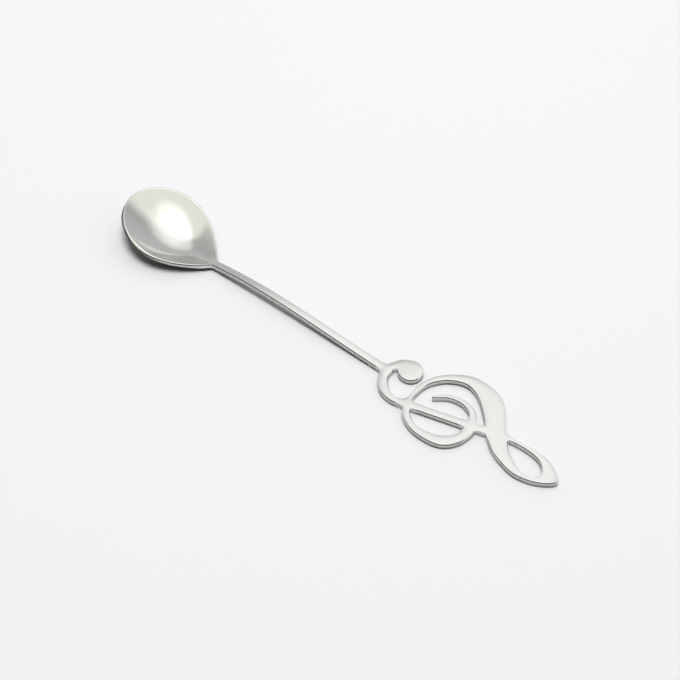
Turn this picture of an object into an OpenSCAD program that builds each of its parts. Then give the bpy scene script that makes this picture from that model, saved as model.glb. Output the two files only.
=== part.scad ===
// Teaspoon with a treble clef handle, lying on a table as it is put down.
// Millimetres. +X runs from the bowl to the clef and +Z is up.
// The origin is on the table, under the middle of the length and on the stem's centre line.

/* [Bowl] */
// Length of the bowl, from its tip to the neck
bowl_l = 27.3; // [23:0.1:34]
// Width of the bowl across its widest place
bowl_w = 21.4; // [17:0.1:26]
// Distance from the neck to the widest place
bowl_wide_at = 15.4; // [12:0.1:18]
// Distance from the neck to the lowest place, which stands on the table
bowl_low_at = 7; // [5:0.5:11]
// Height of the rim above the table at the bowl's tip
rim_tip_z = 8.8; // [7:0.1:11]
// Thickness of the bowl's floor
bowl_floor_t = 1.2; // [0.8:0.1:1.6]
// Width of the rim's lip
lip_w = 0.6; // [0.4:0.1:1.2]
// Height of the rim's outer edge
lip_h = 1.1; // [0.7:0.1:1.4]

/* [Stem] */
// Length of the stem, from the neck to the back of the hook
stem_l = 53.4; // [40:0.1:80]
// Width of the stem at the neck
neck_w = 2; // [1.6:0.1:3]
// Thickness of the stem at the neck
neck_t = 1.9; // [1.5:0.1:2.5]
// Gap between the neck's underside and the table
neck_lift = 0.5; // [0.3:0.1:2]
// Width of the stem where it meets the hook
stem_end_w = 2.3; // [1.6:0.1:3]
// Lift of the stem's arch on the neck's side
arch_neck_lift = 3.3; // [1:0.1:4]
// Lift of the stem's arch on the clef's side
arch_clef_lift = 0.6; // [0:0.1:2.5]

/* [Clef] */
// Length of the clef, from the back of the hook to the tail's point
clef_l = 53.3; // [46:0.1:64]
// Width of the clef across its crown and belly
clef_w = 23; // [20:0.2:26]
// Lean of the clef towards the bowl, from the belly's side to the crown's
clef_lean = 1.38; // [-2:0.02:2]
// Thickness of the plate that the clef is cut from
plate_t = 1.9; // [1.2:0.1:2.4]
// Diameter of the ball that ends the hook
ball_d = 6.3; // [5.4:0.1:6.8]
// Width of the pen stroke at its finest
pen_thin = 1.1; // [0.9:0.05:1.4]
// Width of the pen stroke at its fullest
pen_thick = 5.6; // [4.8:0.1:6]

/* [Hidden] */

steel = [0.80, 0.80, 0.78];
overall_l = bowl_l + stem_l + clef_l;
tip_x = -overall_l / 2;
neck_x = tip_x + bowl_l;
clef_x = neck_x + stem_l;
neck_z = neck_lift + neck_t;
// How far a cutting solid reaches past the faces that it cuts
cut_past = 1;

// Shape of the bowl: how square its shoulders are at the neck, how blunt its tip is,
// how its rim climbs, and how full its dish is
shoulder_squareness = 0.87;
tip_bluntness = 1.96;
rim_climb = 1.15;
dish_fullness = 2;
// Distance over which the neck's thickness runs out into the rim's edge
neck_run_out = 8;
neck_steps = 14;
tip_steps = 12;
dish_rings = 9;

// Steps along each span of a drawn curve
span_steps = 6;
stem_steps = 24;

// The clef's curves as they are drawn: millimetres along the upright clef from the back
// of the hook, and across it from the stem's centre line. A stroke's third number is how
// full the pen is there, from 0 at its finest to 1 at its fullest.
hook_path = [[6.1, 4.55, 0.46], [3.4, 3.6, 0.42], [1.55, 1.5, 0.21], [1.1, -0.3, 0.24],
             [1.35, -2.1, 0.3], [2.25, -3.65, 0.3], [3.5, -4.9, 0.29], [5.1, -5.8, 0.23],
             [7, -6.2, 0.16], [8.9, -5.95, 0.12], [10.6, -5.35, 0.12]];
bar_path = [[10.3, -5.5, 0.22], [20, -3.13, 0.22], [29, -0.94, 0.19], [36.4, 0.9, 0.03]];
crown_path = [[10.6, -5.2, 0.05], [10.5, -2.2, 0.01], [10.85, 0.9, 0.05], [12.05, 3.95, 0.13],
              [15.1, 7.2, 0.2], [19.6, 9.4, 0.42], [24, 9.1, 0.72], [27.8, 7.3, 1],
              [30.8, 4.15, 0.92], [33, 1.4, 0.8], [34.3, -0.25, 0.62]];
belly_path = [[11.3, -5.6, 0.11], [12.5, -8, 0.17], [16, -10, 0.17], [20.3, -10.1, 0.31],
              [24, -9.1, 0.43], [26.6, -6.6, 0.39], [27.7, -3.4, 0.33], [27.7, -1, 0.29]];
curl_path = [[27.5, -1.5, 0.28], [26.6, 0.5, 0.14], [25.4, 2, 0.12], [23.3, 3, 0.09],
             [20.8, 3.2, 0.06], [18.1, 2.5, 0.03], [16.1, 1.1, 0], [15.1, 0.15, -0.08]];
tail_edge = [[31.8, -0.6], [33.9, -3.05], [37, -5], [42.5, -6.65], [46.7, -6.35], [50.3, -5.1],
             [52.8, -3.4], [53.5, -2.1], [52.5, -0.75], [49.9, 1.1], [46.9, 2.05], [42.5, 2.15],
             [38.2, 1.85], [34.5, 2]];
tail_hole = [[37.2, 0.3], [38.9, 0.8], [41.8, 0.9], [44.7, 0.65], [46.7, 0], [48.3, -1.3],
             [49, -2.9], [48.1, -4.5], [46.7, -5], [44.5, -4.8], [41.7, -3.7], [39.3, -2.1]];
ball_at = [6.1, 3.1];

// Scales that bring the drawn clef to its length and width
along_scale = clef_l / max([for (p = tail_edge) leant(p)]);
crown_top = furthest(open_curve(crown_path), 1);
belly_low = furthest(open_curve(belly_path), -1);
across_scale = (clef_w - (pen_w(crown_top[2]) + pen_w(belly_low[2])) / 2) / (crown_top[1] - belly_low[1]);

// Curves

// Point at share t of the span from b to c, on the smooth curve through a, b, c and d
function on_span(a, b, c, d, t) =
    b + t / 2 * ((c - a) + t * (2 * a - 5 * b + 4 * c - d + t * (3 * b - a - 3 * c + d)));

// Smooth open curve through the points
function open_curve(p) = [
    for (i = [0 : len(p) - 2], k = [0 : span_steps - 1])
        on_span(p[max(i - 1, 0)], p[i], p[i + 1], p[min(i + 2, len(p) - 1)], k / span_steps),
    p[len(p) - 1]
];

// Smooth closed curve through the points
function closed_curve(p) = let (n = len(p)) [
    for (i = [0 : n - 1], k = [0 : span_steps - 1])
        on_span(p[(i + n - 1) % n], p[i], p[(i + 1) % n], p[(i + 2) % n], k / span_steps)
];

// How far along the clef a drawn point lies once the clef leans
function leant(p) = p[0] - clef_lean / clef_w * p[1];

// A drawn point at the clef's place and size
function placed(p) = [clef_x + leant(p) * along_scale, p[1] * across_scale];

// Width of the pen stroke for a fullness from 0 to 1
function pen_w(fullness) = pen_thin + (pen_thick - pen_thin) * fullness;

// The curve's point whose pen stroke reaches furthest to a side of the clef, 1 or -1
function furthest(curve, side) =
    let (reach = [for (p = curve) side * p[1] * along_scale + pen_w(p[2]) / 2])
    curve[search(max(reach), reach)[0]];

// Unit vector across the path at its point i
function across(path, i) =
    let (along = path[min(i + 1, len(path) - 1)] - path[max(i - 1, 0)])
    [-along[1], along[0]] / norm(along);

// Both edges of a pen stroke as one outline
function stroke_edges(p) =
    let (
        drawn = open_curve(p),
        path = [for (q = drawn) placed(q)],
        half = [for (q = drawn) pen_w(q[2]) / 2],
        last = len(path) - 1
    )
    concat(
        [for (i = [0 : last]) path[i] + across(path, i) * half[i]],
        [for (i = [last : -1 : 0]) path[i] - across(path, i) * half[i]]
    );

// Height of the stem's top face at share t of its length from the neck
function stem_top(t) =
    let (a = neck_z, b = neck_z + arch_neck_lift, c = plate_t + arch_clef_lift, d = plate_t, s = 1 - t)
    s * s * s * a + 3 * s * s * t * b + 3 * s * t * t * c + t * t * t * d;

function stem_thickness(t) = neck_t + (plate_t - neck_t) * t;

// Half the bowl's width at distance d from the neck
function bowl_half_w(d) =
    d < bowl_wide_at
        ? neck_w / 2 + (bowl_w - neck_w) / 2 * pow(sin(90 * d / bowl_wide_at), shoulder_squareness)
        : bowl_w / 2 * sqrt(1 - pow(min(1, (d - bowl_wide_at) / (bowl_l - bowl_wide_at)), tip_bluntness));

// Height of the rim at distance d from the neck
function rim_z(d) = neck_z + (rim_tip_z - neck_z) * (1 - pow(1 - d / bowl_l, rim_climb));

// Height of the rim's outer edge, which grows to the stem's thickness at the neck
function edge_h(d) = lip_h + (neck_t - lip_h) * pow(max(0, 1 - d / neck_run_out), 2);

// Flat work

module flat_plate(outline) {
    linear_extrude(plate_t) polygon(outline);
}

// The same outline, tall enough to cut any plate or stem
module cutter(outline) {
    translate([0, 0, -cut_past]) linear_extrude(plate_t + 2 * cut_past) polygon(outline);
}

module ball_disc(from_z, to_z) {
    translate(concat(placed(ball_at), from_z)) cylinder(d = ball_d, h = to_z - from_z, $fn = 64);
}

module ball_cutter() {
    ball_disc(-cut_past, plate_t + cut_past);
}

// Sub-parts

// Pressed dish with a lip, gathered at the neck into the stem's own section
module bowl() {
    far_d = concat(
        [for (i = [0 : neck_steps - 1]) bowl_wide_at * i / neck_steps],
        [for (i = [0 : tip_steps - 1])
            bowl_wide_at + (bowl_l - bowl_wide_at) * sin(90 * i / tip_steps)]
    );
    last = len(far_d) - 1;
    // Rim, from the middle of the neck along the far side to the tip and back: distance, side
    rim = concat(
        [[0, 0]],
        [for (d = far_d) [d, bowl_half_w(d)]],
        [[bowl_l, 0]],
        [for (i = [last : -1 : 0]) [far_d[i], -bowl_half_w(far_d[i])]]
    );
    n = len(rim);
    low = [bowl_low_at, 0];
    inner_share = [for (p = rim) 1 - lip_w / norm(p - low)];
    inner_rings = [
        for (k = [1 : dish_rings], j = [0 : n - 1])
            let (r = k / dish_rings, q = low + (rim[j] - low) * inner_share[j] * r)
            [neck_x - q[0], q[1],
             bowl_floor_t + (rim_z(rim[j][0]) - bowl_floor_t) * pow(r, dish_fullness)]
    ];
    lip_ring = [for (p = rim) [neck_x - p[0], p[1], rim_z(p[0])]];
    outer_rings = [
        for (k = [dish_rings : -1 : 1], j = [0 : n - 1])
            let (r = k / dish_rings, q = low + (rim[j] - low) * r)
            [neck_x - q[0], q[1], (rim_z(rim[j][0]) - edge_h(rim[j][0])) * pow(r, dish_fullness)]
    ];
    centres = [[neck_x - bowl_low_at, 0, bowl_floor_t], [neck_x - bowl_low_at, 0, 0]];
    rings = 2 * dish_rings + 1;
    floor_point = rings * n;
    foot_point = floor_point + 1;
    walls = [
        for (k = [0 : rings - 2], j = [0 : n - 1])
            let (a = k * n + j, b = k * n + (j + 1) % n)
            each [[a, b, b + n], [a, b + n, a + n]]
    ];
    floor_fan = [for (j = [0 : n - 1]) [floor_point, (j + 1) % n, j]];
    foot_fan = [for (j = [0 : n - 1]) [foot_point, (rings - 1) * n + j, (rings - 1) * n + (j + 1) % n]];
    color(steel)
        polyhedron(
            concat(inner_rings, lip_ring, outer_rings, centres),
            concat(walls, floor_fan, foot_fan),
            convexity = 6
        );
}

// Slender arched bar, coped where it meets the hook
module stem() {
    reach = 1 + pen_w(hook_path[3][2]) / 2 / stem_l;
    steps = [for (i = [0 : stem_steps]) i / stem_steps];
    side = concat(
        [for (t = steps) [neck_x + stem_l * t, stem_top(t)]],
        [[neck_x + stem_l * reach, plate_t], [neck_x + stem_l * reach, 0]],
        [for (i = [stem_steps : -1 : 0])
            [neck_x + stem_l * steps[i], stem_top(steps[i]) - stem_thickness(steps[i])]]
    );
    plan = [[neck_x, -neck_w / 2], [clef_x, -stem_end_w / 2], [neck_x + stem_l * reach, -stem_end_w / 2],
            [neck_x + stem_l * reach, stem_end_w / 2], [clef_x, stem_end_w / 2], [neck_x, neck_w / 2]];
    color(steel)
        difference() {
            intersection() {
                translate([0, bowl_w / 2, 0]) rotate([90, 0, 0]) linear_extrude(bowl_w) polygon(side);
                translate([0, 0, -cut_past]) linear_extrude(rim_tip_z + 2 * cut_past) polygon(plan);
            }
            cutter(stroke_edges(hook_path));
        }
}

// Stroke that curls from the ball round to the bar
module clef_hook() {
    color(steel)
        difference() {
            flat_plate(stroke_edges(hook_path));
            ball_cutter();
            cutter(stroke_edges(bar_path));
        }
}

// Round end of the hook
module clef_ball() {
    color(steel) ball_disc(0, plate_t);
}

// Straight stroke that crosses the whole clef
module clef_bar() {
    color(steel) flat_plate(stroke_edges(bar_path));
}

// Swelling stroke over the top of the clef
module clef_crown() {
    color(steel)
        difference() {
            flat_plate(stroke_edges(crown_path));
            cutter(stroke_edges(bar_path));
            cutter(stroke_edges(hook_path));
            cutter(closed_curve([for (p = tail_edge) placed(p)]));
        }
}

// Stroke under the clef, from the bar's start round to its middle
module clef_belly() {
    color(steel)
        difference() {
            flat_plate(stroke_edges(belly_path));
            cutter(stroke_edges(bar_path));
            cutter(stroke_edges(hook_path));
            cutter(stroke_edges(crown_path));
        }
}

// Inner end of the spiral, which ends free
module clef_curl() {
    color(steel)
        difference() {
            flat_plate(stroke_edges(curl_path));
            cutter(stroke_edges(bar_path));
        }
}

// Pointed loop at the free end
module clef_tail() {
    color(steel)
        difference() {
            flat_plate(closed_curve([for (p = tail_edge) placed(p)]));
            cutter(closed_curve([for (p = tail_hole) placed(p)]));
            cutter(stroke_edges(bar_path));
        }
}

bowl();
stem();
clef_hook();
clef_ball();
clef_bar();
clef_crown();
clef_belly();
clef_curl();
clef_tail();
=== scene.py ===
import math

import bmesh
import bpy
import numpy as np
from bpy.props import FloatProperty, FloatVectorProperty, PointerProperty
from bpy.types import Operator, Panel, PropertyGroup
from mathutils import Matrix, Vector
from mathutils.geometry import delaunay_2d_cdt


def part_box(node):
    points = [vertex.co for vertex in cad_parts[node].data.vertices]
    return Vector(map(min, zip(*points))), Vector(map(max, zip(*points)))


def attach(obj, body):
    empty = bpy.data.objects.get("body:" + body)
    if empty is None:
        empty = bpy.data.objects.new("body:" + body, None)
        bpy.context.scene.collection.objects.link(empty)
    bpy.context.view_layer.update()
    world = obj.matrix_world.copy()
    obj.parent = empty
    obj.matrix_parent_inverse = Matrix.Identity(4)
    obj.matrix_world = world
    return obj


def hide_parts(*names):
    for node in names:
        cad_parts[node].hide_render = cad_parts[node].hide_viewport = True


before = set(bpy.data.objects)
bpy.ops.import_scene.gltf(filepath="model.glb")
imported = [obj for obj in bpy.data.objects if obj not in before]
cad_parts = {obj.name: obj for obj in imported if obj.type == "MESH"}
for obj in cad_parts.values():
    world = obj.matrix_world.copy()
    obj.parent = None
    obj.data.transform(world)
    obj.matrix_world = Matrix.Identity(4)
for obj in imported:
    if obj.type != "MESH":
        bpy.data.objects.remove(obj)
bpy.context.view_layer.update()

bl_info = {
    "name": "Treble clef teaspoon",
    "version": (1, 0, 0),
    "blender": (4, 5, 0),
    "location": "3D View > Sidebar > Teaspoon",
    "description": "Polished steel teaspoon whose handle is cut out as a treble clef",
    "category": "Add Mesh",
}

MM = 0.001

# Corners of the solids that set the driving sizes
BOWL_LOW, BOWL_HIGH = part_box("bowl")
STEM_LOW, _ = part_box("stem")
_, CROWN_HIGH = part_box("clef_crown")
BELLY_LOW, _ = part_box("clef_belly")
TAIL_LOW, TAIL_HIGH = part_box("clef_tail")
CLEF_NODES = [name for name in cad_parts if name.startswith("clef_")]

# The clef as it is drawn: millimetres along the upright clef from the back of the hook, and
# across it from the stem's centre line. A stroke's third number is how full the pen is there.
HOOK = [(6.1, 4.55, 0.46), (3.4, 3.6, 0.42), (1.55, 1.5, 0.21), (1.1, -0.3, 0.24),
        (1.35, -2.1, 0.3), (2.25, -3.65, 0.3), (3.5, -4.9, 0.29), (5.1, -5.8, 0.23),
        (7, -6.2, 0.16), (8.9, -5.95, 0.12), (10.6, -5.35, 0.12)]
BAR = [(10.3, -5.5, 0.22), (20, -3.13, 0.22), (29, -0.94, 0.19), (36.4, 0.9, 0.03)]
CROWN = [(10.6, -5.2, 0.05), (10.5, -2.2, 0.01), (10.85, 0.9, 0.05), (12.05, 3.95, 0.13),
         (15.1, 7.2, 0.2), (19.6, 9.4, 0.42), (24, 9.1, 0.72), (27.8, 7.3, 1),
         (30.8, 4.15, 0.92), (33, 1.4, 0.8), (34.3, -0.25, 0.62)]
BELLY = [(11.3, -5.6, 0.11), (12.5, -8, 0.17), (16, -10, 0.17), (20.3, -10.1, 0.31),
         (24, -9.1, 0.43), (26.6, -6.6, 0.39), (27.7, -3.4, 0.33), (27.7, -1, 0.29)]
CURL = [(27.5, -1.5, 0.28), (26.6, 0.5, 0.14), (25.4, 2, 0.12), (23.3, 3, 0.09),
        (20.8, 3.2, 0.06), (18.1, 2.5, 0.03), (16.1, 1.1, 0), (15.1, 0.15, -0.08)]
TAIL_EDGE = [(31.8, -0.6), (33.9, -3.05), (37, -5), (42.5, -6.65), (46.7, -6.35), (50.3, -5.1),
             (52.8, -3.4), (53.5, -2.1), (52.5, -0.75), (49.9, 1.1), (46.9, 2.05), (42.5, 2.15),
             (38.2, 1.85), (34.5, 2)]
TAIL_HOLE = [(37.2, 0.3), (38.9, 0.8), (41.8, 0.9), (44.7, 0.65), (46.7, 0), (48.3, -1.3),
             (49, -2.9), (48.1, -4.5), (46.7, -5), (44.5, -4.8), (41.7, -3.7), (39.3, -2.1)]
BALL_AT = (6.1, 3.1)
# How much narrower the clef is made than its solids, so that it stays inside their box
CLEF_SPARE = 0.03 * MM

# How far from an edge its distance is worked out, and the distance given to places beyond that
NEAR_BY, FAR_AWAY = 2 * MM, 1.0
# Fullness of eased corners: a flat chamfer, a soft bevel and a round
CHAMFER, BEVEL, ROUND = 1.0, 1.15, 2.0
# Turns along an eased corner, from its level face to its upright one
CORNER_TURNS = np.radians(np.linspace(0, 90, 7))

# The handle's mesh: cells of its plan, and steps along its edges and inside its faces
CELL, EDGE_STEP, INNER_STEP = 0.12 * MM, 0.18 * MM, 0.4 * MM
# The bowl's mesh: points along half the rim and across the neck, and rings of the dish
RIM_COUNT, NECK_COUNT, RING_COUNT = 170, 9, 56
# Edges of the bowl that turn more than this are sharp
SHARP_TURN = math.radians(40)
# The rim's bevel: shares of the bowl's length where it begins to widen and is widest
BEVEL_BEGINS, BEVEL_FULL = 0.3, 0.65
# Drop of the rim's bevel at the tip, over its width
TIP_LEAN = 0.85
# Smoothing of the dish: shares of the way to the neck where it begins to fade and is gone
BLEND_FADES, BLEND_GONE = 0.35, 0.8

# Reach of the table and the soft box from their middles, and where the box hangs
TABLE_REACH, BOX_REACH = 4.0, 0.6
BOX_HEIGHT, BOX_FROM_TIP = 0.3, 17 * MM
# Camera: angle and distance from its target, and its lens in millimetres
CAMERA_AZIMUTH, CAMERA_ELEVATION = math.radians(37.98), math.radians(51)
CAMERA_DISTANCE, CAMERA_LENS = 0.7, 150.57
CAMERA_TARGET = Vector((-0.757, 1.214, 0)) * MM


def size(name, description, default):
    """A length that a user can change, in metres."""
    return FloatProperty(name=name, description=description, default=default, min=0.0,
                         unit="LENGTH", precision=5)


def number(name, description, default, most=1.0):
    """A plain number that a user can change."""
    return FloatProperty(name=name, description=description, default=default, min=0.0, max=most)


def colour(name, description, default):
    """A colour that a user can change, in linear values."""
    return FloatVectorProperty(name=name, description=description, default=default,
                               subtype="COLOR", size=3, min=0.0, max=1.0)


class BowlSizes(PropertyGroup):
    """Sizes of the bowl"""

    length: size("Length", "From the tip to the neck", BOWL_HIGH.x - BOWL_LOW.x)
    width: size("Width", "Across the widest place", BOWL_HIGH.y - BOWL_LOW.y)
    wide_at: size("Widest at", "From the neck to the widest place", 15.4 * MM)
    low_at: size("Lowest at", "From the neck to the lowest place", 7 * MM)
    tip_height: size("Tip height", "Height of the rim at the tip", BOWL_HIGH.z)
    floor: size("Floor", "Thickness of the floor", 1.2 * MM)
    lip_width: size("Lip width", "Width of the lip on the rim", 0.42 * MM)
    lip_height: size("Lip height", "Height of the rim's outer edge", 1.75 * MM)
    lip_undercut: size("Lip undercut", "How far the rim's outer edge leans in at its foot", 0.5 * MM)
    lip_round: size("Lip rounding", "Width of the lip's outer corners", 0.25 * MM)
    tip_bevel: size("Tip bevel", "How much wider the rim's outer corner is at the tip", 0.34 * MM)
    lip_ease: size("Lip easing", "Width of the curve from the dish to the lip", 0.12 * MM)
    dish_slope: number("Dish slope", "Steepness of the dish at its edge, 2 for a parabola", 2.0, 3.0)
    dish_blend: size("Dish blend", "Reach over which the dish's middle is smoothed", 1.5 * MM)
    slope_run: size("Slope run-out", "Length in which the dish's edge flattens towards the neck", 18 * MM)
    neck_run: size("Neck run-out", "Length in which the neck runs out into the rim", 8 * MM)
    lip_run: size("Lip run-out", "Length in which the lip runs out towards the neck", 4 * MM)
    neck_fillet: size("Neck fillet", "Reach of the fillet between neck and shoulder", 0.6 * MM)


class HandleSizes(PropertyGroup):
    """Sizes of the stem and the clef"""

    neck_width: size("Neck width", "Width of the stem at the neck", 2 * MM)
    neck_thickness: size("Neck thickness", "Thickness of the stem at the neck", 1.9 * MM)
    neck_lift: size("Neck lift", "Gap between the neck and the table", 0.5 * MM)
    end_width: size("End width", "Width of the stem at the hook", 2.3 * MM)
    neck_arch: size("Neck arch", "Lift of the arch on the neck's side", 3.3 * MM)
    clef_arch: size("Clef arch", "Lift of the arch on the clef's side", 0.6 * MM)
    stem_length: size("Stem length", "From the neck to the back of the hook", 53.4 * MM)
    clef_width: size("Clef width", "Across the crown and the belly",
                     CROWN_HIGH.y - BELLY_LOW.y - CLEF_SPARE)
    lean: size("Lean", "Lean of the clef towards the bowl, across its width", 1.38 * MM)
    plate: size("Plate", "Thickness of the clef's plate", TAIL_HIGH.z - TAIL_LOW.z)
    ball: size("Ball", "Diameter of the ball that ends the hook", 6.3 * MM)
    pen_thin: size("Thin stroke", "Width of the pen stroke at its finest", 1.1 * MM)
    pen_thick: size("Thick stroke", "Width of the pen stroke at its fullest", 5.6 * MM)
    fillet: size("Fillet", "Reach of the fillets between strokes", 0.6 * MM)
    edge: size("Edge", "Width of the eased upper edges", 0.22 * MM)
    edge_drop: size("Edge drop", "Height of the eased upper edges", 0.27 * MM)
    foot_edge: size("Foot edge", "Width of the chamfered lower edges", 0.72 * MM)
    foot_rise: size("Foot rise", "Height of the chamfered lower edges", 0.64 * MM)
    roll: size("Polished roll", "Fall of the top towards its edges", 0.13 * MM)
    roll_width: size("Roll width", "Reach of that fall", 0.8 * MM)


class SteelFinish(PropertyGroup):
    """Finish of the steel"""

    tint: colour("Steel", "Colour of the polished steel", (0.73, 0.73, 0.71))
    cut_tint: colour("Cut edge", "Colour of the cut sides", (0.68, 0.68, 0.66))
    polish: number("Polish", "Roughness of the bowl", 0.09)
    satin: number("Satin", "Roughness of the handle's faces", 0.2)
    cut: number("Cut roughness", "Roughness of the cut sides", 0.18)


class StudioLight(PropertyGroup):
    """Table and light"""

    table: colour("Table", "Colour of the table", (0.93, 0.93, 0.94))
    table_return: colour("Table return", "Colour of the light that the table throws back",
                         (0.08, 0.08, 0.08))
    warmth: colour("Warmth", "Colour of the room's bright side in the steel", (1.0, 0.995, 0.92))
    dim: number("Dim side", "Strength of the room's light on its dim side", 0.5, 5.0)
    bright: number("Bright side", "Strength of the room's light on its bright side", 1.03, 5.0)
    front_shade: number("Front shade", "How much less of the room in front reaches the table", 0.96)
    mirror_shade: number("Mirrored shade", "How much darker the steel shows the room low in front", 0.93)
    end_shade: number("End shade", "How much darker the steel shows the room low beyond the tip", 0.97)
    glow: number("Glow", "Strength of the soft box", 0.66, 5.0)
    wall_share: number("Wall share", "How much of the room's light reaches the table", 0.5)
    halo: number("Halo", "Strength of the halo overhead", 0.34, 5.0)
    key: number("Key", "Strength of the lamp that casts the shadows", 1.92, 10.0)


# Curves and outlines


def smoothstep(low, high, value):
    """A smooth step from 0, where the value is low, to 1, where it is high."""
    t = np.clip((np.asarray(value, float) - low) / (high - low), 0, 1)
    return t * t * (3 - 2 * t)


def smooth_curve(points, closed=False, steps=8):
    """Points on the smooth curve through the given points."""
    p = np.array(points, float)
    if closed:
        p = np.vstack([p[-1:], p, p[:2]])
    else:
        p = np.vstack([p[:1], p, p[-1:]])
    t = np.arange(steps)[:, None] / steps
    spans = []
    for a, b, c, d in zip(p, p[1:], p[2:], p[3:]):
        spans.append(b + t / 2 * ((c - a) + t * (2 * a - 5 * b + 4 * c - d
                                                + t * (3 * b - a - 3 * c + d))))
    if not closed:
        spans.append(p[-1:])
    return np.vstack(spans)


def near_curve(points, path, reach):
    """Which of the points lie in the curve's box, widened by the given reach."""
    return np.all((points > path.min(axis=0) - reach) & (points < path.max(axis=0) + reach), axis=1)


def gap_to_span(points, a, b):
    """Distance of the points from the straight span a to b, and the share along it."""
    ab = b - a
    t = np.clip(((points - a) @ ab) / (ab @ ab), 0, 1)
    return np.hypot(points[:, 0] - a[0] - t * ab[0], points[:, 1] - a[1] - t * ab[1]), t


def stroke_field(points, path, half):
    """Distance of the points from a pen stroke's edge, negative inside."""
    field = np.full(len(points), FAR_AWAY)
    near = near_curve(points, path, half.max() + NEAR_BY)
    here = points[near]
    best = np.full(len(here), FAR_AWAY)
    for a, b, wide_a, wide_b in zip(path, path[1:], half, half[1:]):
        gap, t = gap_to_span(here, a, b)
        best = np.minimum(best, gap - wide_a - t * (wide_b - wide_a))
    field[near] = best
    return field


def inside_outline(points, outline):
    """Which of the points lie inside a closed outline."""
    x, y = points[:, 0], points[:, 1]
    inside = np.zeros(len(points), bool)
    for a, b in zip(outline, np.roll(outline, -1, axis=0)):
        if a[1] != b[1]:
            crosses = (y < a[1]) != (y < b[1])
            inside ^= crosses & (x < a[0] + (y - a[1]) / (b[1] - a[1]) * (b[0] - a[0]))
    return inside


def closed_field(points, outline):
    """Distance of the points from a closed outline, negative inside."""
    field = np.full(len(points), FAR_AWAY)
    near = near_curve(points, outline, NEAR_BY)
    here = points[near]
    best = np.full(len(here), FAR_AWAY)
    for a, b in zip(outline, np.roll(outline, -1, axis=0)):
        best = np.minimum(best, gap_to_span(here, a, b)[0])
    field[near] = np.where(inside_outline(here, outline), -best, best)
    return field


def joined(one, other, fillet):
    """Both fields as one, with a fillet where their edges meet."""
    near = np.maximum(fillet - np.abs(one - other), 0) / fillet
    return np.minimum(one, other) - near * near * fillet / 4


class HandlePlan:
    """Plan of the stem and the clef as a field: negative in the steel, zero at its edge."""

    def __init__(self, sizes):
        self.fillet = sizes.fillet
        self.neck = STEM_LOW.x
        self.back = self.neck + sizes.stem_length
        self.slant = -sizes.lean / sizes.clef_width
        self.strokes = [self.stem(sizes)]
        strokes = (HOOK, BAR, CROWN, BELLY, CURL)
        crown, belly = strokes.index(CROWN), strokes.index(BELLY)
        curves = [smooth_curve(drawn) for drawn in strokes]
        halves = [(sizes.pen_thin + (sizes.pen_thick - sizes.pen_thin) * c[:, 2]) / 2 for c in curves]
        tail_edge = smooth_curve(TAIL_EDGE, closed=True)
        self.along_scale = (TAIL_HIGH.x - self.back) / self.leant(tail_edge).max()
        top = np.argmax(curves[crown][:, 1] * self.along_scale + halves[crown])
        low = np.argmin(curves[belly][:, 1] * self.along_scale - halves[belly])
        self.across_scale = ((sizes.clef_width - halves[crown][top] - halves[belly][low])
                             / (curves[crown][top, 1] - curves[belly][low, 1]))
        self.strokes += [(self.placed(curve), half) for curve, half in zip(curves, halves)]
        self.tail_edge = self.placed(tail_edge)
        self.tail_hole = self.placed(smooth_curve(TAIL_HOLE, closed=True))
        self.ball = self.placed(np.array([BALL_AT]))[0]
        self.ball_radius = sizes.ball / 2

    def leant(self, drawn):
        """How far along the clef the drawn points lie once it leans."""
        return drawn[:, 0] + self.slant * drawn[:, 1]

    def placed(self, drawn):
        """The drawn points at the clef's place and size."""
        return np.column_stack([self.back + self.leant(drawn) * self.along_scale,
                                drawn[:, 1] * self.across_scale])

    def stem(self, sizes):
        """The stem as a straight stroke that runs past the neck and into the hook."""
        past = 2 * MM
        taper = (sizes.end_width - sizes.neck_width) / 2 / (self.back - self.neck)
        path = np.array([[self.neck - past, 0], [self.back + sizes.pen_thin, 0]])
        half = sizes.neck_width / 2 + taper * (path[:, 0] - self.neck)
        return path, half

    def field(self, points):
        """Distance of the points from the handle's edge, negative in the steel."""
        parts = [stroke_field(points, path, half) for path, half in self.strokes]
        parts.append(np.hypot(*(points - self.ball).T) - self.ball_radius)
        tail = np.maximum(closed_field(points, self.tail_edge), -closed_field(points, self.tail_hole))
        parts.append(tail)
        whole = parts[0]
        for part in parts[1:]:
            whole = joined(whole, part, self.fillet)
        return whole

    def slope(self, points):
        """Unit vectors that point out of the steel."""
        reach = 0.01 * MM
        across = [self.field(points + step) - self.field(points - step) for step in np.eye(2) * reach]
        out = np.stack(across, axis=1)
        return out / np.linalg.norm(out, axis=1, keepdims=True)


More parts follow.
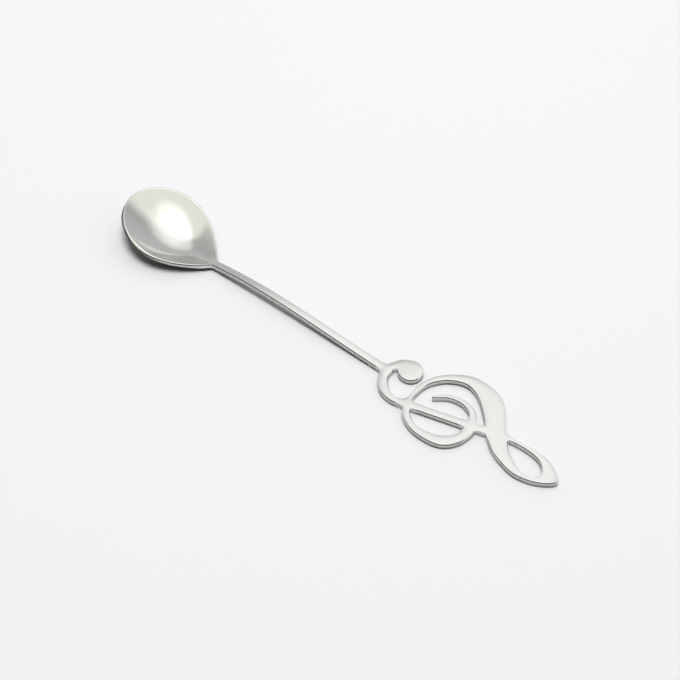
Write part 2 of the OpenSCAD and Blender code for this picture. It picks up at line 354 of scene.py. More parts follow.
def trace_outlines(field, xs, ys):
    """Closed outlines where the gridded field crosses zero, as arrays of points."""
    inside = field < 0
    links = {}
    places = {}

    def crossing(i, j, k, m):
        """Key of the place where the outline crosses the side between two grid points."""
        key = (i, j, k, m)
        if key not in places:
            t = field[i, j] / (field[i, j] - field[k, m])
            places[key] = (xs[i] + t * (xs[k] - xs[i]), ys[j] + t * (ys[m] - ys[j]))
        return key

    mixed = inside[:-1, :-1].astype(int) + inside[1:, :-1] + inside[:-1, 1:] + inside[1:, 1:]
    for i, j in zip(*np.nonzero((mixed > 0) & (mixed < 4))):
        sides = ((i, j, i + 1, j), (i + 1, j, i + 1, j + 1), (i, j + 1, i + 1, j + 1),
                 (i, j, i, j + 1))
        cut = [crossing(*s) for s in sides if inside[s[0], s[1]] != inside[s[2], s[3]]]
        for one, other in zip(cut[::2], cut[1::2]):
            links.setdefault(one, []).append(other)
            links.setdefault(other, []).append(one)
    outlines = []
    while links:
        here = next(iter(links))
        loop = []
        while here is not None:
            loop.append(places[here])
            ahead = links.pop(here)
            here = next((n for n in ahead if n in links), None)
        outlines.append(np.array(loop))
    return outlines


def evenly_spaced(loop, step):
    """The closed loop's points at even steps along it."""
    fewest = 8
    closed = np.vstack([loop, loop[:1]])
    run = np.r_[0, np.cumsum(np.linalg.norm(np.diff(closed, axis=0), axis=1))]
    at = np.linspace(0, run[-1], max(fewest, round(run[-1] / step)), endpoint=False)
    return np.stack([np.interp(at, run, closed[:, k]) for k in (0, 1)], axis=1)


def blurred(mask, reach):
    """The mask, smoothed over the given number of cells."""
    span = 3 * round(reach)
    ticks = np.arange(-span, span + 1)
    weights = np.exp(-(ticks / reach) ** 2 / 2)
    weights /= weights.sum()
    for axis in (0, 1):
        mask = np.apply_along_axis(np.convolve, axis, mask, weights, "same")
    return mask


def grid_points(xs, ys):
    """All the points of a grid, one after the other."""
    return np.stack(np.meshgrid(xs, ys, indexing="ij"), axis=-1).reshape(-1, 2)


def sampled(grid, xs, ys, points):
    """Values of the grid between its nodes, at the points."""
    # The points stay just short of the last node, so that each has a next one
    short = 1.001
    u = np.clip((points[:, 0] - xs[0]) / (xs[1] - xs[0]), 0, len(xs) - short)
    v = np.clip((points[:, 1] - ys[0]) / (ys[1] - ys[0]), 0, len(ys) - short)
    i, j = u.astype(int), v.astype(int)
    u, v = u - i, v - j
    low = grid[i, j] * (1 - u) + grid[i + 1, j] * u
    high = grid[i, j + 1] * (1 - u) + grid[i + 1, j + 1] * u
    return low * (1 - v) + high * v


# Meshes


def new_piece(name, mesh, material):
    """A new object in the scene, with its mesh and material."""
    piece = bpy.data.objects.new(name, mesh)
    bpy.context.scene.collection.objects.link(piece)
    mesh.materials.append(material)
    return piece


def band_faces(ids, closed=False):
    """Quads between the neighbouring rows of a table of vertex numbers."""
    if closed:
        ids = np.hstack([ids, ids[:, :1]])
    corners = (ids[:-1, :-1], ids[:-1, 1:], ids[1:, 1:], ids[1:, :-1])
    return np.stack([c.ravel() for c in corners], axis=1).tolist()


def corner_shape(turn, fullness):
    """How far an eased corner lies from its edge inwards and downwards, and how it faces.

    The turn goes from 0 at the level face to 90 degrees at the upright one. A fullness of 2 is
    round, and a lower one is nearer to a flat bevel.
    """
    out, up = math.sin(turn), math.cos(turn)
    place = 2 / fullness
    return 1 - out ** place, 1 - up ** place, out ** (2 - place), up ** (2 - place)


class StemArch:
    """Heights of the handle's top and underside along its length."""

    def __init__(self, sizes, plan):
        self.neck, self.back = plan.neck, plan.back
        neck_top = sizes.neck_lift + sizes.neck_thickness
        self.tops = (neck_top, neck_top + sizes.neck_arch, sizes.plate + sizes.clef_arch, sizes.plate)
        self.neck_thickness, self.plate = sizes.neck_thickness, sizes.plate

    def share(self, x):
        """Share of the way from the neck to the hook, and 1 all over the clef."""
        return np.minimum((x - self.neck) / (self.back - self.neck), 1)

    def top(self, x):
        """Height of the top: one smooth arch over the stem, and level over the clef."""
        t = self.share(x)
        s = 1 - t
        a, b, c, d = self.tops
        return s ** 3 * a + 3 * s * s * t * b + 3 * s * t * t * c + t ** 3 * d

    def underside(self, x):
        """Height of the underside, as the thickness goes from the neck's to the plate's."""
        return self.top(x) - self.neck_thickness - (self.plate - self.neck_thickness) * self.share(x)

    def neck_slope(self):
        """How steeply the top leaves the neck."""
        return 3 * (self.tops[1] - self.tops[0]) / (self.back - self.neck)


def edge_loops(plan, field, xs, ys):
    """Outlines of the handle and its openings at even steps, moved on to the very edge."""
    loops = []
    for loop in trace_outlines(field, xs, ys):
        loop = evenly_spaced(loop, EDGE_STEP)
        for _ in range(3):
            loop = loop - plan.slope(loop) * plan.field(loop)[:, None]
        loops.append(loop)
    return loops


def eased_width(plan, rim, out, spans, width):
    """The easing's width along the edge, less where a stroke is thin or a corner is sharp."""
    probe, clearance, least_share = 1.25, 1.2, 0.05
    neighbours = range(-4, 5)
    room = np.zeros(len(rim))
    for tried in np.linspace(0.1, 1, 10) * width:
        clear = -plan.field(rim - out * probe * tried) > clearance * tried
        room = np.where(clear, tried, room)
    for first, last in spans:
        loop = room[first:last]
        least = np.min([np.roll(loop, shift) for shift in neighbours], axis=0)
        room[first:last] = np.mean([np.roll(least, shift) for shift in neighbours], axis=0)
    return np.maximum(room, least_share * width)[:, None]


def upright(height, points):
    """Unit normals of a height over the plan."""
    fall = [height(points - step) - height(points + step) for step in np.eye(2) * CELL]
    normal = np.stack([*fall, np.full(len(points), 2 * CELL)], axis=1)
    return normal / np.linalg.norm(normal, axis=1, keepdims=True)


def cap_triangles(ring, seeds, spans):
    """Triangles that fill a ring, as numbers of its own points and then of the seeds inside it."""
    inside_edges, nearness = 1, 1e-8
    edges = []
    for first, last in spans:
        edges += [(i, i + 1 if i + 1 < last else first) for i in range(first, last)]
    flat = [Vector(point) for point in np.vstack([ring, seeds])]
    flat_out, _, triangles, origin, _, _ = delaunay_2d_cdt(flat, edges, [], inside_edges, nearness)
    if len(flat_out) != len(flat):
        raise RuntimeError("an edge of the handle crosses itself")
    numbers = np.array([ids[0] for ids in origin])
    triangles = numbers[np.array(triangles)]
    middle = np.array(flat)[triangles].mean(axis=1)
    within = [inside_outline(middle, ring[first:last]) for first, last in spans]
    return triangles[np.logical_xor.reduce(within)]


def handle_mesh(sizes):
    """Stem and clef as one plate, with eased edges and tops that roll over softly."""
    plan = HandlePlan(sizes)
    arch = StemArch(sizes, plan)
    margin, past_neck, roll_run = MM, 4 * MM, 6 * MM
    xs = np.arange(plan.neck - past_neck, TAIL_HIGH.x + margin, CELL)
    ys = np.arange(-sizes.clef_width / 2 - margin, sizes.clef_width / 2 + margin, CELL)
    field = plan.field(grid_points(xs, ys)).reshape(len(xs), len(ys))
    roll = 2 * (1 - blurred(np.clip(0.5 - field / CELL, 0, 1), sizes.roll_width / CELL))

    def top(points):
        """Height of the top, which rolls down to its edges all along but at the neck."""
        fall = sampled(roll, xs, ys, points) * smoothstep(plan.neck, plan.neck + roll_run, points[:, 0])
        return arch.top(points[:, 0]) - sizes.roll * fall

    def underside(points):
        """Height of the underside."""
        return arch.underside(points[:, 0])

    loops = edge_loops(plan, field, xs, ys)
    rim = np.vstack(loops)
    count = len(rim)
    out = plan.slope(rim)
    wall_out = np.hstack([out, np.zeros((count, 1))])
    starts = np.cumsum([0] + [len(loop) for loop in loops])
    spans = list(zip(starts, starts[1:]))

    # Rings from the edge of the top, over its bevel, down and round to the underside
    places, normals = [], []
    for height, up, edge, drop, fullness, turns in (
            (top, 1, sizes.edge, sizes.edge_drop, BEVEL, CORNER_TURNS),
            (underside, -1, sizes.foot_edge, sizes.foot_rise, CHAMFER, CORNER_TURNS[::-1])):
        width = eased_width(plan, rim, out, spans, edge)
        steepness = drop / edge
        for turn in turns:
            inward, down, sideways, level = corner_shape(turn, fullness)
            points = rim - out * width * inward
            z = height(points) - up * steepness * width[:, 0] * down
            places.append(np.column_stack([points, z]))
            normals.append(upright(height, points) * up * level + wall_out * sideways * steepness)
    rings = len(places)
    table = np.arange(rings * count).reshape(rings, count)

    # Points inside the top and the underside, and the triangles between them and the rings
    inner = grid_points(np.arange(xs[0], xs[-1], INNER_STEP), np.arange(ys[0], ys[-1], INNER_STEP))
    depth = -plan.field(inner)
    faces = []
    total = rings * count
    for height, up, width, ring in ((top, 1, sizes.edge, 0), (underside, -1, sizes.foot_edge, rings - 1)):
        seeds = inner[depth > width + INNER_STEP / 3]
        triangles = cap_triangles(places[ring][:, :2], seeds, spans)
        places.append(np.column_stack([seeds, height(seeds)]))
        normals.append(upright(height, seeds) * up)
        numbers = np.where(triangles < count, triangles + ring * count, triangles - count + total)
        faces += numbers[:, ::up].tolist()
        total += len(seeds)
    for first, last in spans:
        faces += band_faces(table[:, first:last], closed=True)
    return cut_at_neck(np.vstack(places), np.vstack(normals), faces, plan.neck)


def cut_at_neck(places, normals, faces, neck):
    """The handle's mesh, ended by a flat face at the neck, with its own smooth normals."""
    mesh = bpy.data.meshes.new("spoon_handle")
    mesh.from_pydata(places.tolist(), [], faces)
    bm = bmesh.new()
    bm.from_mesh(mesh)
    smooth = bm.verts.layers.float_vector.new("smooth")
    bm.verts.ensure_lookup_table()
    for vert, normal in zip(bm.verts, normals):
        vert[smooth] = Vector(normal)
    bmesh.ops.recalc_face_normals(bm, faces=bm.faces)
    cut = bmesh.ops.bisect_plane(bm, geom=bm.verts[:] + bm.edges[:] + bm.faces[:], dist=1e-8,
                                 plane_co=(neck, 0, 0), plane_no=(-1, 0, 0), clear_outer=True)
    rim = [e for e in cut["geom_cut"] if isinstance(e, bmesh.types.BMEdge)]
    bmesh.ops.edgeloop_fill(bm, edges=rim)
    bmesh.ops.recalc_face_normals(bm, faces=bm.faces)
    bm.verts.ensure_lookup_table()
    shading = [vert[smooth].normalized() for vert in bm.verts]
    bm.verts.layers.float_vector.remove(smooth)
    bm.to_mesh(mesh)
    bm.free()
    mesh.shade_smooth()
    mesh.normals_split_custom_set_from_vertices(shading)
    return mesh


class BowlForm:
    """Outline and heights of the bowl, by distance from the neck towards the tip."""

    def __init__(self, sizes, handle):
        self.sizes = sizes
        self.half_neck = handle.neck_width / 2
        self.neck_top = handle.neck_lift + handle.neck_thickness
        self.neck_thickness = handle.neck_thickness

    def half_width(self, d):
        """Half the bowl's width: full shoulders from the neck on, and an oval tip."""
        s = self.sizes
        shoulder_squareness, tip_bluntness = 0.87, 1.96
        eased = d * (1 - np.exp(-d / s.neck_fillet))
        grown = np.sin(np.pi / 2 * np.clip(eased / s.wide_at, 0, 1)) ** shoulder_squareness
        shoulder = self.half_neck + (s.width / 2 - self.half_neck) * grown
        past = np.clip((d - s.wide_at) / (s.length - s.wide_at), 0, 1)
        tip = s.width / 2 * np.sqrt(1 - past ** tip_bluntness)
        return np.where(d < s.wide_at, shoulder, tip)

    def rim_height(self, d):
        """Height of the rim, which climbs from the neck to the tip."""
        climb = 1.15
        rise = self.sizes.tip_height - self.neck_top
        return self.neck_top + rise * (1 - (1 - d / self.sizes.length) ** climb)

    def edge_height(self, d):
        """Height of the rim's outer edge, which grows to the neck's thickness."""
        near = np.clip(1 - d / self.sizes.neck_run, 0, 1) ** 2
        return self.sizes.lip_height + (self.neck_thickness - self.sizes.lip_height) * near

    def rim(self, count):
        """Rim from the neck along the far side to the tip and back: distances and sides."""
        s = self.sizes
        fine = 2000
        turn = np.linspace(0, np.pi / 2, fine)
        d = np.r_[s.wide_at * (1 - np.cos(turn)), s.wide_at + (s.length - s.wide_at) * np.sin(turn[1:])]
        y = self.half_width(d)
        y[-1] = 0
        run = np.r_[0, np.cumsum(np.hypot(np.diff(d), np.diff(y)))]
        at = np.linspace(0, run[-1], count)
        far = np.stack([np.interp(at, run, d), np.interp(at, run, y)], axis=1)
        near = far[-2::-1] * [1, -1]
        return np.vstack([far, near])


class BowlLip:
    """Widths and drops of the lip along the rim, which run out into the stem's at the neck."""

    def __init__(self, sizes, handle, d):
        away = smoothstep(0, sizes.lip_run, d)
        tip = smoothstep(BEVEL_BEGINS * sizes.length, BEVEL_FULL * sizes.length, d)
        corner = handle.edge + (sizes.lip_round - handle.edge) * away
        lean = handle.edge_drop / handle.edge
        self.width = corner + (sizes.lip_width - corner) * away + sizes.tip_bevel * tip
        self.corner = corner + sizes.tip_bevel * tip
        self.drop = self.corner * (lean + (TIP_LEAN - lean) * tip)
        self.foot = handle.foot_edge + (sizes.lip_round - handle.foot_edge) * away
        self.rise = handle.foot_rise + (sizes.lip_round - handle.foot_rise) * away
        self.foot_fullness = CHAMFER + (ROUND - CHAMFER) * away
        self.undercut = sizes.lip_undercut * away
        self.ease = sizes.lip_ease * away


def dish_height(r, slope):
    """Height from 0 at the middle to 1 at the edge, with the given slope at the edge."""
    return (3 - slope) * r ** 2 + (slope - 2) * r ** 3


class PressedSide:
    """One side of the pressed sheet, which rises all round from its lowest place to its edge."""

    def __init__(self, low, floor, edge, slope):
        self.low, self.floor, self.edge, self.slope = low, floor, edge, slope
        self.spread = edge[:, :2] - low

    def row(self, shares):
        """A ring of places, at shares of the way to the edge."""
        z = self.floor + (self.edge[:, 2] - self.floor) * dish_height(shares, self.slope)
        return np.column_stack([self.low + self.spread * shares[:, None], z])

    def height_at(self, points):
        """Height of this side at any points."""
        here = points - self.low
        way = np.arctan2(here[:, 1], here[:, 0])
        heading = np.arctan2(self.spread[:, 1], self.spread[:, 0])
        shape = (np.linalg.norm(self.spread, axis=1), self.edge[:, 2], self.slope)
        far, edge_z, steep = (np.interp(way, heading, values, period=2 * np.pi) for values in shape)
        return self.floor + (edge_z - self.floor) * dish_height(np.hypot(*here.T) / far, steep)

    def smooth_middle(self, rows, reach, run):
        """Average the heights over two rings round each place, less and less along the run."""
        turn = np.linspace(0, 2 * np.pi, 16, endpoint=False)
        ring = np.stack([np.cos(turn), np.sin(turn)], axis=1)
        steps = np.vstack([ring * 0.5, ring])
        for row in rows:
            off = np.linalg.norm(row[:, :2] - self.low, axis=1)
            blend = reach * (1 - smoothstep(BLEND_FADES * run, BLEND_GONE * run, off))[:, None]
            row[:, 2] = np.mean([self.height_at(row[:, :2] + step * blend) for step in steps], axis=0)


def bowl_mesh(sizes, handle):
    """Dish, rounded lip and underside of the bowl, ended by a flat face at the neck."""
    form = BowlForm(sizes, handle)
    plan = HandlePlan(handle)
    rim = form.rim(RIM_COUNT)
    stations = len(rim)
    d = rim[:, 0]
    along = np.gradient(rim, axis=0)
    along[0], along[-1] = (1, 0), (-1, 0)
    inward = np.stack([along[:, 1], -along[:, 0]], axis=1)
    inward /= np.linalg.norm(inward, axis=1, keepdims=True)
    top = form.rim_height(d)
    foot = top - form.edge_height(d)
    lip = BowlLip(sizes, handle, d)

    def placed(inset, height):
        """Places at an inset from the rim, at a height, in the spoon's frame."""
        points = rim + inward * inset[:, None]
        return np.column_stack([plan.neck - points[:, 0], points[:, 1], height])

    def neck_line(easing, height):
        """Places across the neck, between its eased edges."""
        across = np.linspace(-1, 1, NECK_COUNT + 2)[1:-1]
        return np.column_stack([np.full(NECK_COUNT, plan.neck), across * (form.half_neck - easing),
                                np.full(NECK_COUNT, height)])

    # The lip, from its flat top round the outer edge to the underside
    lip_rows = []
    for turn in CORNER_TURNS:
        inset, down, _, _ = corner_shape(turn, BEVEL)
        lip_rows.append(placed(lip.corner * inset, top - lip.drop * down))
    for turn in CORNER_TURNS[::-1]:
        inset, down, _, _ = corner_shape(turn, lip.foot_fullness)
        lip_rows.append(placed(lip.undercut + lip.foot * inset, foot + lip.rise * down))

    # The dish and the underside, whose edges have a straight stretch across the neck
    low = np.array([plan.neck - sizes.low_at, 0])
    dish_edge = np.vstack([placed(lip.width, top), neck_line(handle.edge, form.neck_top)])
    foot_edge = np.vstack([lip_rows[-1],
                           neck_line(handle.foot_edge, form.neck_top - form.neck_thickness)])
    neck_slope = StemArch(handle, plan).neck_slope() * sizes.low_at / (form.neck_top - sizes.floor)
    grown = np.r_[smoothstep(0, sizes.slope_run, d), np.zeros(NECK_COUNT)]
    dish = PressedSide(low, sizes.floor, dish_edge, neck_slope + (sizes.dish_slope - neck_slope) * grown)
    underside = PressedSide(low, 0.0, foot_edge, np.full(len(foot_edge), sizes.dish_slope))
    ease = np.r_[lip.ease, np.zeros(NECK_COUNT)]
    reach = 1 - ease / np.linalg.norm(dish.spread, axis=1)
    shares = np.arange(1, RING_COUNT + 1) / RING_COUNT
    dish_rows = [dish.row(reach * share) for share in shares]
    foot_rows = [underside.row(np.full(len(foot_edge), share)) for share in shares[::-1]]
    middle = np.array([[*low, sizes.floor]])
    dish.smooth_middle(dish_rows + [middle], sizes.dish_blend, sizes.low_at)

    # Curve from the dish up on to the flat of the lip
    start, crest = dish_rows[-1][:stations], dish_edge[:stations]
    flat = np.maximum(lip.width - lip.corner, 0) / 2
    finish = placed(lip.width - np.minimum(flat, lip.ease), top)
    ease_rows = []
    for t in (0.25, 0.5, 0.75, 1.0):
        ease_rows.append((1 - t) ** 2 * start + 2 * t * (1 - t) * crest + t * t * finish)

    # Vertex numbers row by row, and the faces between them
    loop = stations + NECK_COUNT
    lip_places = ease_rows + lip_rows[:-1]
    places = np.vstack(dish_rows + foot_rows + lip_places + [middle, [[*low, 0.0]]])
    dish_ids = np.arange(RING_COUNT * loop).reshape(RING_COUNT, loop)
    foot_ids = dish_ids + RING_COUNT * loop
    lip_ids = np.arange(len(lip_places) * stations).reshape(-1, stations) + 2 * RING_COUNT * loop
    pole = 2 * RING_COUNT * loop + lip_ids.size
    skin = np.vstack([dish_ids[-1:, :stations], lip_ids, foot_ids[:1, :stations]])
    faces = band_faces(dish_ids, closed=True) + band_faces(foot_ids, closed=True) + band_faces(skin)
    for row, hub in ((dish_ids[0], pole), (foot_ids[-1], pole + 1)):
        faces += [[a, b, hub] for a, b in zip(row, np.roll(row, -1))]
    faces.append([*skin[:, -1], *foot_ids[0, stations:], *skin[::-1, 0], *dish_ids[-1, :stations - 1:-1]])
    return pressed_mesh(places, faces)


def pressed_mesh(places, faces):
    """The bowl's mesh, with doubled points merged, faces turned outwards and sharp edges marked."""
    mesh = bpy.data.meshes.new("spoon_bowl")
    mesh.from_pydata(places.tolist(), [], [[int(v) for v in face] for face in faces])
    bm = bmesh.new()
    bm.from_mesh(mesh)
    bmesh.ops.remove_doubles(bm, verts=bm.verts, dist=1e-7)
    bmesh.ops.recalc_face_normals(bm, faces=bm.faces)
    bm.to_mesh(mesh)
    bm.free()
    mesh.shade_smooth()
    mesh.set_sharp_from_angle(angle=SHARP_TURN)
    return mesh


# Materials and light


class Nodes:
    """Adds nodes to a node tree and links them."""

    # Places of the mix node's sockets: numbers, colours and the mixed colour
    NUMBERS, COLOURS, MIXED_COLOUR = (2, 3), (6, 7), 2

    def __init__(self, tree):
        self.tree = tree
        self.tree.nodes.clear()

    def add(self, kind, inputs=None, **settings):
        """A new node, with its settings made and its inputs linked or set."""
        node = self.tree.nodes.new(kind)
        for name, value in settings.items():
            setattr(node, name, value)
        for name, value in (inputs or {}).items():
            if isinstance(value, bpy.types.NodeSocket):
                self.tree.links.new(value, node.inputs[name])
            else:
                node.inputs[name].default_value = value
        return node

    def worked_out(self, operation, one, other=0.0):
        """The outcome of one piece of arithmetic."""
        return self.add("ShaderNodeMath", {0: one, 1: other}, operation=operation).outputs[0]

    def product(self, one, other):
        """One number times the other."""
        return self.worked_out("MULTIPLY", one, other)

    def vector(self, operation, one, other):
        """The vector that an operation makes of two others."""
        return self.add("ShaderNodeVectorMath", {0: one, 1: other}, operation=operation).outputs[0]

    def ramp(self, value, begins, full):
        """A smooth step from 0, where the value begins, to 1, where it is full."""
        return self.add("ShaderNodeMapRange", {"Value": value, "From Min": begins, "From Max": full},
                        interpolation_type="SMOOTHSTEP").outputs[0]

    def between(self, part, low, high):
        """The low number where the part is 0, and the high one where it is 1."""
        return self.add("ShaderNodeMapRange", {"Value": part, "To Min": low, "To Max": high}).outputs[0]

    def mix(self, part, one, other):
        """The one number where the part is 0, and the other where it is 1."""
        a, b = self.NUMBERS
        return self.add("ShaderNodeMix", {"Factor": part, a: one, b: other}).outputs[0]

    def mix_colour(self, part, one, other):
        """The one colour where the part is 0, and the other where it is 1."""
        a, b = self.COLOURS
        node = self.add("ShaderNodeMix", {"Factor": part, a: (*one, 1), b: (*other, 1)}, data_type="RGBA")
        return node.outputs[self.MIXED_COLOUR]


def node_material(name):
    """A new material and the nodes to build it from."""
    material = bpy.data.materials.new(name)
    material.use_nodes = True
    return material, Nodes(material.node_tree)


def polish_group():
    """Node group: the haze and hairlines that a polishing wheel leaves, and the sides it misses."""
    group = bpy.data.node_groups.get("wheel_polish")
    if group:
        return group
    group = bpy.data.node_groups.new("wheel_polish", "ShaderNodeTree")
    for way, names in (("INPUT", ("Haze", "Hairlines")), ("OUTPUT", ("Gloss", "Height", "Side"))):
        for name in names:
            group.interface.new_socket(name, in_out=way, socket_type="NodeSocketFloat")
    n = Nodes(group)
    given = n.add("NodeGroupInput")
    place = n.add("ShaderNodeTexCoord").outputs["Object"]
    cloud = n.add("ShaderNodeTexNoise", {"Vector": place, "Scale": 160.0, "Detail": 4.0})
    stretched = n.add("ShaderNodeMapping", {"Vector": place, "Scale": (260.0, 9000.0, 9000.0)})
    lines = n.add("ShaderNodeTexNoise", {"Vector": stretched.outputs[0], "Scale": 1.0, "Detail": 3.0})
    haze = n.product(cloud.outputs["Fac"], given.outputs["Haze"])
    fine = n.product(lines.outputs["Fac"], given.outputs["Hairlines"])
    gloss = n.worked_out("ADD", haze, fine)

    # Steep faces are cut sides, which the wheel misses
    normal = n.add("ShaderNodeNewGeometry").outputs["Normal"]
    level = n.worked_out("ABSOLUTE", n.add("ShaderNodeSeparateXYZ", {0: normal}).outputs["Z"])
    side = n.add("ShaderNodeMapRange", {"Value": level, "From Min": 0.55, "From Max": 0.3}).outputs[0]
    n.add("NodeGroupOutput", {"Gloss": gloss, "Height": fine, "Side": side})
    return group


def steel(name, finish, roughness, haze, hairlines):
    """Polished steel with duller cut sides."""
    spread = 0.25
    material, n = node_material(name)
    polish = n.add("ShaderNodeGroup", {"Haze": haze, "Hairlines": hairlines}, node_tree=polish_group())
    side = polish.outputs["Side"]
    shine = n.between(polish.outputs["Gloss"], roughness * (1 - spread), roughness * (1 + spread))
    bump = n.add("ShaderNodeBump", {"Height": polish.outputs["Height"], "Strength": 0.04,
                                    "Distance": 0.05 * MM})
    shader = n.add("ShaderNodeBsdfPrincipled",
                   {"Base Color": n.mix_colour(side, finish.tint, finish.cut_tint), "Metallic": 1.0,
                    "Roughness": n.mix(side, shine, finish.cut), "Normal": bump.outputs[0]})
    n.add("ShaderNodeOutputMaterial", {"Surface": shader.outputs[0]})
    return material


def table_top(studio):
    """Pale, even table, which throws little light back into its own shadows."""
    material, n = node_material("table_top")
    bounces = n.add("ShaderNodeLightPath").outputs["Diffuse Depth"]
    thrown_back = n.worked_out("GREATER_THAN", bounces, 0.5)
    seen = n.mix_colour(thrown_back, studio.table, studio.table_return)
    shader = n.add("ShaderNodeBsdfDiffuse", {"Color": seen})
    n.add("ShaderNodeOutputMaterial", {"Surface": shader.outputs[0]})
    return material


def room_light(studio):
    """World: a dim room with a bright side, a dark front and a soft halo overhead.

    The table gets only a share of its light. The steel shows it dark only low in front and low
    beyond the bowl's tip.
    """
    bright_side = Vector((0.63, -0.78, 0.33)).normalized()
    front = Vector((0.3, -0.95, 0.0)).normalized()
    back_wall = Vector((-0.6, 0.8, 0.0))
    beyond_tip = Vector((-1.0, 0.0, 0.0))
    above = Vector((0.13, 0.0, 1.0)).normalized()
    dim_front, dim_back = 0.83 * studio.dim, 1.25 * studio.dim
    world = bpy.data.worlds.new("room_light")
    world.use_nodes = True
    n = Nodes(world.node_tree)
    way = n.add("ShaderNodeTexCoord").outputs["Generated"]
    height = n.add("ShaderNodeSeparateXYZ", {0: way}).outputs["Z"]
    mirrored = n.add("ShaderNodeLightPath").outputs["Is Glossy Ray"]

    def towards(axis):
        """How far the way points along an axis, from -1 to 1."""
        return n.add("ShaderNodeVectorMath", {0: way, 1: axis}, operation="DOT_PRODUCT").outputs["Value"]

    lit = n.ramp(towards(bright_side), begins=-0.2, full=0.22)
    dim = n.between(n.ramp(towards(back_wall), begins=0.0, full=0.9), dim_front, dim_back)
    level = n.mix(lit, dim, studio.bright)

    in_front = n.ramp(towards(front), begins=0.05, full=0.38)
    low_front = n.product(n.ramp(height, begins=0.68, full=0.45),
                          n.ramp(towards(front), begins=0.0, full=0.35))
    low_end = n.product(n.ramp(height, begins=0.4, full=0.12),
                        n.ramp(towards(beyond_tip), begins=0.45, full=0.85))
    dark_front = n.mix(mirrored, n.product(in_front, studio.front_shade),
                       n.product(low_front, studio.mirror_shade))
    dark_end = n.product(n.product(low_end, mirrored), studio.end_shade)
    dark = n.worked_out("MAXIMUM", dark_front, dark_end)

    shown = n.product(n.between(mirrored, studio.wall_share, 1.0), n.between(dark, 1.0, 0.0))
    halo = n.product(n.ramp(towards(above), begins=0.9, full=0.985), studio.halo)
    strength = n.worked_out("ADD", n.product(level, shown), halo)
    hue = n.mix_colour(n.product(lit, mirrored), (1, 1, 1), studio.warmth)
    background = n.add("ShaderNodeBackground", {"Color": hue, "Strength": strength})
    n.add("ShaderNodeOutputWorld", {"Surface": background.outputs[0]})
    return world


def soft_box_light(studio):
    """Oval glow that lets the room's light through. Its sizes are in heights of the box."""
    centre = Vector((-0.02, 0.45, 0)) * BOX_HEIGHT
    half = Vector((0.64, 1.1, 1)) * BOX_HEIGHT
    material, n = node_material("soft_box")
    place = n.add("ShaderNodeTexCoord").outputs["Object"]
    scaled = n.vector("DIVIDE", n.vector("SUBTRACT", place, centre), half)
    far = n.add("ShaderNodeVectorMath", {0: scaled}, operation="LENGTH").outputs["Value"]
    glow = n.product(n.ramp(far, begins=1.0, full=0.15), studio.glow)
    light = n.add("ShaderNodeEmission", {"Color": (1, 1, 1, 1), "Strength": glow})
    clear = n.add("ShaderNodeBsdfTransparent")
    both = n.add("ShaderNodeAddShader", {0: light.outputs[0], 1: clear.outputs[0]})
    n.add("ShaderNodeOutputMaterial", {"Surface": both.outputs[0]})
    return material


def level_sheet(name, reach, material):
    """A square sheet that lies level."""
    mesh = bpy.data.meshes.new(name)
    corners = [(-reach, -reach, 0), (reach, -reach, 0), (reach, reach, 0), (-reach, reach, 0)]
    mesh.from_pydata(corners, [], [(0, 1, 2, 3)])
    sheet = new_piece(name, mesh, material)
    return sheet


def key_light(studio):
    """Lamp overhead that lights the table but is no bright spot in the steel."""
    comes_from = Vector((0.12, -0.14, 1.0))
    softness = math.radians(20)
    lamp = bpy.data.lights.new("key_light", "SUN")
    lamp.energy = studio.key
    lamp.angle = softness
    key = bpy.data.objects.new("key_light", lamp)
    key.rotation_euler = comes_from.to_track_quat("Z", "Y").to_euler()
    key.visible_glossy = False
    return key


def aimed_camera():
    """Camera at the photo's viewing angle."""
    back = Vector((math.sin(CAMERA_AZIMUTH) * math.cos(CAMERA_ELEVATION),
                   -math.cos(CAMERA_AZIMUTH) * math.cos(CAMERA_ELEVATION), math.sin(CAMERA_ELEVATION)))
    lens = bpy.data.cameras.new("camera")
    lens.lens = CAMERA_LENS
    lens.clip_start, lens.clip_end = 0.01, 20
    camera = bpy.data.objects.new("camera", lens)
    camera.location = CAMERA_TARGET + back * CAMERA_DISTANCE
    camera.rotation_euler = (-back).to_track_quat("-Z", "Y").to_euler()
    return camera


# Operators


class TEASPOON_OT_bowl(Operator):
    """Build the bowl: a pressed dish with a rounded lip"""

    bl_idname = "teaspoon.bowl"
    bl_label = "Bowl"

    def execute(self, context):
        scene = context.scene
        finish = scene.teaspoon_finish
        mesh = bowl_mesh(scene.teaspoon_bowl, scene.teaspoon_handle)
        polished = steel("bowl_steel", finish, finish.polish, haze=0.6, hairlines=0.4)
        bowl = new_piece("spoon_bowl", mesh, polished)
        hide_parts("bowl")
        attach(bowl, "root")
        return {"FINISHED"}


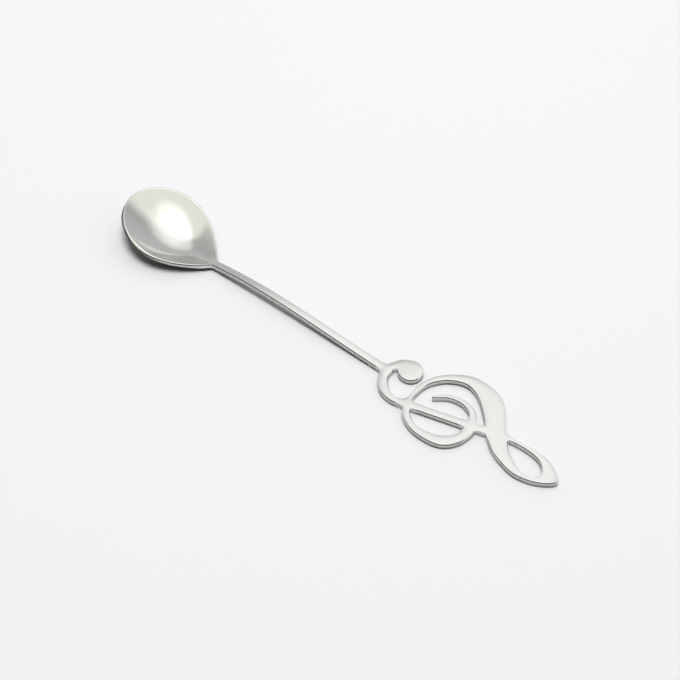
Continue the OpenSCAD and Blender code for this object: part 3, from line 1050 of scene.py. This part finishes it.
class TEASPOON_OT_handle(Operator):
    """Build the stem and the clef, cut from one plate"""

    bl_idname = "teaspoon.handle"
    bl_label = "Handle"

    def execute(self, context):
        scene = context.scene
        finish = scene.teaspoon_finish
        mesh = handle_mesh(scene.teaspoon_handle)
        satin = steel("handle_steel", finish, finish.satin, haze=0.5, hairlines=0.5)
        handle = new_piece("spoon_handle", mesh, satin)
        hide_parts("stem", *CLEF_NODES)
        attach(handle, "root")
        return {"FINISHED"}


class TEASPOON_OT_stage(Operator):
    """Set the table, the light and the camera"""

    bl_idname = "teaspoon.stage"
    bl_label = "Stage"

    def execute(self, context):
        scene = context.scene
        studio = scene.teaspoon_studio
        level_sheet("table", TABLE_REACH, table_top(studio))
        box = level_sheet("soft_box", BOX_REACH, soft_box_light(studio))
        box.location = (BOWL_LOW.x + BOX_FROM_TIP, 0, BOX_HEIGHT)
        box.visible_camera = False
        scene.world = room_light(studio)
        scene.collection.objects.link(key_light(studio))
        scene.view_settings.view_transform = "Standard"
        camera = aimed_camera()
        scene.collection.objects.link(camera)
        scene.camera = camera
        return {"FINISHED"}


class TEASPOON_PT_sidebar(Panel):
    """Teaspoon's steps, sizes and finish"""

    bl_idname = "TEASPOON_PT_sidebar"
    bl_label = "Teaspoon"
    bl_space_type = "VIEW_3D"
    bl_region_type = "UI"
    bl_category = "Teaspoon"

    def draw(self, context):
        for group in GROUPS:
            box = self.layout.box()
            if group in STEPS:
                box.operator(STEPS[group].bl_idname)
            settings = getattr(context.scene, group)
            for name in settings.__annotations__:
                box.prop(settings, name)


GROUPS = {"teaspoon_bowl": BowlSizes, "teaspoon_handle": HandleSizes,
          "teaspoon_finish": SteelFinish, "teaspoon_studio": StudioLight}
STEPS = {"teaspoon_bowl": TEASPOON_OT_bowl, "teaspoon_handle": TEASPOON_OT_handle,
         "teaspoon_studio": TEASPOON_OT_stage}
CLASSES = [*GROUPS.values(), *STEPS.values(), TEASPOON_PT_sidebar]


def register():
    for cls in CLASSES:
        bpy.utils.register_class(cls)
    for name, group in GROUPS.items():
        setattr(bpy.types.Scene, name, PointerProperty(type=group))


def unregister():
    for name in GROUPS:
        delattr(bpy.types.Scene, name)
    for cls in reversed(CLASSES):
        bpy.utils.unregister_class(cls)


def main():
    register()
    bpy.ops.teaspoon.bowl()
    bpy.ops.teaspoon.handle()
    bpy.ops.teaspoon.stage()


if __name__ == "__main__":
    main()
